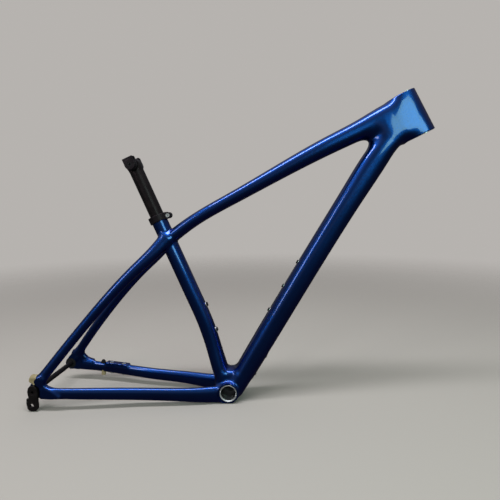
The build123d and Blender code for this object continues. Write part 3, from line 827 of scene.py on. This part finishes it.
FINE = 0.75                    # the cells of these pieces
post_head_piece = formed(
    "seatpost_head_forging", post_head, *around(POST_HEAD - SEAT_AXIS * 6, 25, 18, 28), FINE,
    "seatpost", "seatpost_head", "post_black")
inner_piece = formed(
    "saddle_clamp_inner_cheeks", inner_cheeks, *around(POST_HEAD, 22, 24, 24), FINE,
    "saddle_clamp", "saddle_clamp_inner", "clamp_black")
outer_pieces = []
for side, side_name in SIDES:
    reach = sorted((24.5 * side, 30 * side))
    outer_pieces.append(formed(
        "saddle_clamp_outer_cheek_" + side_name,
        lambda points, side=side, reach=reach: cheek(points, 22.75 * side, 28.5 * side, 12, reach),
        *around(POST_HEAD + vec(0, 25.6 * side, 0), 21, 5, 23), FINE,
        "saddle_clamp", "saddle_clamp_outer_" + side_name, "clamp_black"))
collar_piece = formed(
    "seat_clamp_collar", collar, *around(SEAT_TOP + SEAT_AHEAD * 6 - SEAT_AXIS * 7, 36, 24, 22), FINE,
    "frame", "seat_clamp", "clamp_black")
plug_piece = formed(
    "derailleur_port_soft_plug", port_plug, vec(-443, -88.5, 70), vec(-398, -64, 112), FINE,
    "frame", "derailleur_port_plug", "plug_tan")
hanger_piece = formed(
    "derailleur_hanger_forging", hanger, vec(-449, -90, 17), vec(-409, -74, 82), FINE,
    "hanger", "derailleur_hanger", "hanger_black")


def seatpost():
    """The drawn tube, with broken edges at its foot. Its top meets the head's neck."""
    length = np.linalg.norm(on_seat_axis(POST_TOP_Z) - on_seat_axis(POST_FOOT_Z))
    r, bore, edge = POST_R, POST_R - 2.5, 0.6
    profile = [(bore, edge), (bore + edge, 0), (r - edge, 0), (r, edge), (r, 8), (r, length * 0.5),
               (r, length - 8), (r, length), (bore, length), (bore, length * 0.5)]
    return revolve("seatpost_tube", profile, on_seat_axis(POST_FOOT_Z), SEAT_AXIS, 96)


post_piece = placed(seatpost(), "seatpost", "seatpost")
smooth_shading(post_piece)

THREAD_START = SHELL_HALF - 2.2
THREAD_PITCH = 1.058
THREAD_RUN = 21                # turns


def bracket_sleeve():
    """The bracket's threaded sleeve: a chamfered mouth and a thread at each end, and a plain middle."""
    half = [(SLEEVE_R, 0.0), (SLEEVE_R, SHELL_HALF - 0.5), (SLEEVE_R - 0.5, SHELL_HALF),
            (SLEEVE_BORE_R + 1.6, SHELL_HALF), (SLEEVE_BORE_R + 0.15, SHELL_HALF - 1.5)]
    for turn in range(THREAD_RUN):
        at = THREAD_START - turn * THREAD_PITCH
        half += [(SLEEVE_BORE_R, at), (SLEEVE_BORE_R, at - 0.2), (SLEEVE_BORE_R + 0.55, at - 0.55)]
    last = THREAD_START - THREAD_RUN * THREAD_PITCH
    half += [(SLEEVE_BORE_R + 0.3, last), (SLEEVE_BORE_R + 0.3, 0.0)]
    profile = half + [(r, -t) for r, t in reversed(half[1:-1])]
    return revolve("bottom_bracket_thread_sleeve", profile, vec(0, 0, 0), vec(0, 1, 0), 128)


sleeve_piece = placed(bracket_sleeve(), "frame", "bottom_bracket_sleeve")
smooth_shading(sleeve_piece, 25)


# ------------ materials
def feed(tree, target, **values):
    """Set or link a node's inputs. An underscore in an input's name stands for a space."""
    for key, value in values.items():
        socket = target.inputs[key.replace("_", " ")]
        if isinstance(value, bpy.types.NodeSocket):
            tree.links.new(value, socket)
        else:
            socket.default_value = value


def add(tree, kind, **values):
    """A new node with some of its inputs set or linked."""
    out = tree.nodes.new("ShaderNode" + kind)
    feed(tree, out, **values)
    return out


def principled(name, **values):
    """A new material and its node tree, with the shader's own sockets set."""
    material = bpy.data.materials.new(name)
    material.use_nodes = True
    shader = material.node_tree.nodes["Principled BSDF"]
    feed(material.node_tree, shader, **values)
    return material, material.node_tree, shader


def place_of(tree):
    """The piece's own place, in metres."""
    return add(tree, "TexCoord").outputs["Object"]


def noise(tree, scale, detail=4.0, stretch=(1, 1, 1)):
    """A noise over the piece's own place."""
    mapping = add(tree, "Mapping", Vector=place_of(tree), Scale=stretch)
    return add(tree, "TexNoise", Vector=mapping.outputs[0], Scale=scale, Detail=detail).outputs["Fac"]


def spread(tree, source, low, high, start=0.3, end=0.7):
    """A texture's value taken to a range."""
    out = add(tree, "MapRange", Value=source, From_Min=start, From_Max=end, To_Min=low, To_Max=high)
    return out.outputs["Result"]


def tints(tree, source, dark, light, start=0.3, end=0.7):
    """A texture's value taken from one colour to another."""
    out = add(tree, "ValToRGB", Fac=source)
    first, second = out.color_ramp.elements
    first.position, first.color = start, (*dark, 1)
    second.position, second.color = end, (*light, 1)
    return out.outputs["Color"]


def bump(tree, source, strength, distance):
    """A texture's value as small relief, its height given in metres."""
    return add(tree, "Bump", Height=source, Strength=strength, Distance=distance).outputs["Normal"]


def paint():
    """Candy paint: metal flake under a blue clear coat, with a faint orange peel in the lacquer."""
    material, tree, shader = principled(
        "candy_blue_paint", Metallic=1.0, Specular_Tint=(0.05, 0.02, 0.16, 1), Coat_Weight=1.0,
        Coat_Roughness=0.05, Coat_IOR=1.45, Coat_Tint=(0.45, 0.75, 0.97, 1))
    flake = add(tree, "TexVoronoi", Vector=place_of(tree), Scale=2600)
    split = add(tree, "SeparateColor", Color=flake.outputs["Color"])
    blend = add(tree, "Mix", Factor=0.55, A=split.outputs["Red"], B=noise(tree, 9, 2))
    colour = tints(tree, blend.outputs["Result"], (0.003, 0.044, 0.19), (0.008, 0.086, 0.34), 0.2, 0.8)
    feed(tree, shader, Base_Color=colour,
         Roughness=spread(tree, split.outputs["Green"], 0.26, 0.34, 0, 1),
         Normal=bump(tree, flake.outputs["Distance"], 0.08, 0.0001),
         Coat_Normal=bump(tree, noise(tree, 160, 1), 0.02, 0.0002))
    return material


def coated(name, dark, light, rough, grain, depth=0.12, metallic=0.0):
    """A moulded, anodised or rubber surface: mottled colour, uneven gloss and a fine grain.

    The specular tint keeps the greenish window from colouring these blacks.
    """
    material, tree, shader = principled(name, Metallic=metallic, Specular_Tint=(1.0, 0.66, 0.82, 1),
                                        Specular_IOR_Level=0.5 if metallic else 0.22)
    broad = noise(tree, 60, 5)
    feed(tree, shader, Base_Color=tints(tree, broad, dark, light),
         Roughness=spread(tree, broad, rough - 0.05, rough + 0.07),
         Normal=bump(tree, noise(tree, grain, 3), depth, 0.0002))
    return material


def turned(name, dark, light, rough):
    """Machined metal, with fine tool marks that follow one another along Y."""
    material, tree, shader = principled(name, Metallic=0.75)
    marks = noise(tree, 45, 6, (1, 40, 1))
    feed(tree, shader, Base_Color=tints(tree, marks, dark, light),
         Roughness=spread(tree, marks, rough - 0.06, rough + 0.12), Normal=bump(tree, marks, 0.15, 0.0001))
    return material


def carbon():
    """A black weave, for the inside of the bracket and the inner faces of the dropouts."""
    material, tree, shader = principled("inside_carbon", Roughness=0.5)
    check = add(tree, "TexChecker", Vector=place_of(tree), Scale=500,
                 Color1=(0.004, 0.004, 0.005, 1), Color2=(0.012, 0.012, 0.014, 1))
    feed(tree, shader, Base_Color=check.outputs["Color"])
    return material


BLUE = paint()
POST_BLACK = coated("post_satin_black", (0.005, 0.005, 0.005), (0.009, 0.008, 0.008), 0.36, 1500, 0.02)
CLAMP_BLACK = coated("clamp_anodised_black", (0.005, 0.005, 0.006), (0.009, 0.009, 0.010), 0.40, 2400, 0.06)
HANGER_BLACK = coated("hanger_anodised_black", (0.004, 0.004, 0.004), (0.009, 0.009, 0.008), 0.45, 1800, 0.08)
AXLE_BLACK = coated("axle_anodised_black", (0.004, 0.004, 0.004), (0.008, 0.007, 0.007), 0.46, 900, 0.05)
BOLT_STEEL = coated("bolt_black_oxide", (0.02, 0.02, 0.021), (0.04, 0.04, 0.042), 0.36, 1200, 0.06, 0.9)
RUBBER = coated("grommet_rubber", (0.008, 0.008, 0.009), (0.016, 0.016, 0.017), 0.62, 1500)
COVER = coated("cover_moulded_plastic", (0.006, 0.008, 0.014), (0.010, 0.012, 0.020), 0.5, 1300, 0.15)
TAN = coated("plug_soft_tan", (0.24, 0.19, 0.10), (0.42, 0.35, 0.21), 0.62, 500, 0.3)
ALLOY = turned("turned_aluminium", (0.62, 0.62, 0.63), (0.88, 0.88, 0.89), 0.24)
# The thread's near-black colour is painted shade: the darkness inside the bore, painted onto the metal.
THREAD = turned("thread_aluminium_painted_shade", (0.02, 0.02, 0.02), (0.07, 0.07, 0.07), 0.22)
RING = turned("headset_ring_aluminium", (0.50, 0.50, 0.51), (0.80, 0.80, 0.81), 0.3)
CARBON = carbon()

for piece in skins.values():
    piece.data.materials.append(BLUE)
# On the dropouts' inner sides, the faces round the axle aren't painted.
HUB_FACE_R = 13.0
for side, side_name in SIDES:
    mesh = skins["dropout_" + side_name].data
    mesh.materials.append(CARBON)
    for face in mesh.polygons:
        near_axle = np.hypot(face.center.x / MM - AXLE[0], face.center.z / MM - AXLE[2]) < HUB_FACE_R
        if near_axle and face.normal.y * side < -0.7:
            face.material_index = 1
for piece in (post_piece, post_head_piece):
    piece.data.materials.append(POST_BLACK)
for piece in [inner_piece, collar_piece] + outer_pieces:
    piece.data.materials.append(CLAMP_BLACK)
hanger_piece.data.materials.append(HANGER_BLACK)
plug_piece.data.materials.append(TAN)
for finish in (ALLOY, THREAD, CARBON):
    sleeve_piece.data.materials.append(finish)
# Inside the sleeve, the thread is coloured near black as painted shade of the bore, and the plain middle is
# black.
plain_run = (THREAD_START - THREAD_RUN * THREAD_PITCH + 0.3) * MM
for face in sleeve_piece.data.polygons:
    if np.hypot(face.center.x, face.center.z) < 17.6 * MM and abs(face.center.y) < 34.6 * MM:
        face.material_index = 2 if abs(face.center.y) < plain_run else 1

NODE_FINISH = (
    (RING, ("headset_seat_upper", "headset_seat_lower")),
    (ALLOY, ("brake_mount_sleeves", "down_tube_bosses", "seat_tube_bosses", "hanger_bolt",
             "seat_clamp_bolt")),
    (AXLE_BLACK, ("thru_axle", "axle_washer")),
    (BOLT_STEEL, ("saddle_clamp_bolt", "saddle_clamp_nut", "seat_clamp_nut", "down_tube_boss_bolts",
                  "seat_tube_boss_bolts", "cable_cover_screws")),
    (COVER, ("cable_cover",)),
    (RUBBER, ("brake_hose_grommet",)),
    (TAN, ("chainstay_port_plug",)))
for finish, names in NODE_FINISH:
    for name in names:
        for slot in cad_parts[name].material_slots:
            slot.material = finish

# ------------ floor, light and camera
LEAN = radians(6.5)            # the standing frame's level, against the level of its wheel axles
FLOOR_TILT = radians(5.8)
FLOOR_DROP = 0.0245            # the floor's distance from the bracket's centre
FADE_FROM, FADE_TO = 0.9, 3.2  # how far out the floor begins and ends its fading
BACKDROP = (0.47, 0.45, 0.43, 1)


def upright(x, y, z):
    """A direction or place given against the floor's level, in the part's frame."""
    return Vector((x * cos(LEAN) + z * sin(LEAN), y, -x * sin(LEAN) + z * cos(LEAN)))


def camera():
    """The photograph's camera. It faces the frame's right side and looks a little down."""
    data = bpy.data.cameras.new("camera")
    data.lens = 27.0
    data.sensor_width = 36.0
    obj = linked("camera", data)
    right = upright(0.99815, 0.06085, 0)
    up = upright(-0.00633, 0.10376, 0.99458)
    forward = upright(-0.06052, 0.99274, -0.10395)
    turn = Matrix((right, up, -forward)).transposed().to_4x4()
    obj.matrix_world = Matrix.Translation(upright(0.0995, -0.8483, 0.4150)) @ turn
    bpy.context.scene.camera = obj


def area_light(name, place, target, size, power, colour=(1, 1, 1)):
    """A rectangular light that faces a target. Its power is in watts."""
    data = bpy.data.lights.new(name, "AREA")
    data.shape = "RECTANGLE"
    data.size, data.size_y = size
    data.energy = power
    data.color = colour
    obj = linked(name, data)
    obj.location = place
    obj.rotation_euler = (Vector(target) - Vector(place)).to_track_quat("-Z", "Y").to_euler()


def mixed(tree, amount, first, second):
    """A shader that goes from one to another."""
    out = add(tree, "MixShader", Fac=amount)
    tree.links.new(first.outputs[0], out.inputs[1])
    tree.links.new(second.outputs[0], out.inputs[2])
    return out


def floor():
    """A wide pale floor that the frame stands on. It fades out into the backdrop's colour.

    Reflections leave it out and show the studio's own room instead.
    """
    bm = bmesh.new()
    bmesh.ops.create_circle(bm, cap_ends=True, radius=6.0, segments=96)
    mesh = bpy.data.meshes.new("floor")
    bm.to_mesh(mesh)
    bm.free()
    obj = linked("floor", mesh)
    obj.rotation_euler = (0, FLOOR_TILT, 0)
    obj.location = Vector((sin(FLOOR_TILT), 0, cos(FLOOR_TILT))) * -FLOOR_DROP
    obj.visible_glossy = False
    material, tree, shader = principled("pale_floor", Base_Color=(0.47, 0.435, 0.41, 1), Roughness=0.75)
    size = add(tree, "VectorMath", Vector=place_of(tree))
    size.operation = "LENGTH"
    ramp = add(tree, "MapRange", Value=size.outputs["Value"], From_Min=FADE_FROM, From_Max=FADE_TO)
    ramp.interpolation_type = "SMOOTHSTEP"
    faded = mixed(tree, ramp.outputs["Result"], shader, add(tree, "BsdfTransparent"))
    feed(tree, tree.nodes["Material Output"], Surface=faded.outputs[0])
    mesh.materials.append(material)


def studio():
    """A pale backdrop for the camera, a room for the paint to mirror, and an even fill for the rest.

    The room is dark below, has a dim band at the level of the horizon, and is bright above.
    """
    world = bpy.data.worlds.new("studio")
    bpy.context.scene.world = world
    world.use_nodes = True
    tree = world.node_tree
    backdrop = tree.nodes["Background"]
    feed(tree, backdrop, Color=BACKDROP)
    split = add(tree, "SeparateXYZ", Vector=add(tree, "TexCoord").outputs["Generated"])
    height = add(tree, "MapRange", Value=split.outputs["Z"], From_Min=-1)
    ramp = add(tree, "ValToRGB", Fac=height.outputs["Result"])
    stops = ramp.color_ramp.elements
    stops[0].position, stops[0].color = 0.0, (0.03, 0.02, 0.04, 1)
    stops[1].position, stops[1].color = 1.0, (0.5, 0.6, 0.7, 1)
    for at, level in ((0.40, 0.04), (0.49, 0.07), (0.56, 0.20), (0.64, 0.10), (0.8, 0.26)):
        stop = stops.new(at)
        stop.color = (level * 0.9, level * 0.95, level * 1.05, 1)
    room = add(tree, "Background", Color=ramp.outputs["Color"])
    fill = add(tree, "Background", Color=(0.36, 0.35, 0.34, 1))
    path = add(tree, "LightPath")
    mirrored = mixed(tree, path.outputs["Is Glossy Ray"], fill, room)
    seen = mixed(tree, path.outputs["Is Camera Ray"], mirrored, backdrop)
    feed(tree, tree.nodes["World Output"], Surface=seen.outputs[0])


camera()
floor()
studio()
area_light("ceiling_strip", (0.1, -0.5, 2.3), (0.1, 0, 0.3), (2.4, 0.32), 38, (0.96, 0.98, 1.0))
area_light("window", (1.33, -2.04, 1.1), (0.35, 0, 0.5), (1.0, 0.85), 13, (0.52, 1.0, 0.76))
area_light("left_fill", (-1.6, -1.8, 1.5), (-0.2, 0, 0.3), (0.35, 1.4), 9)

bpy.context.scene.view_settings.view_transform = "Standard"
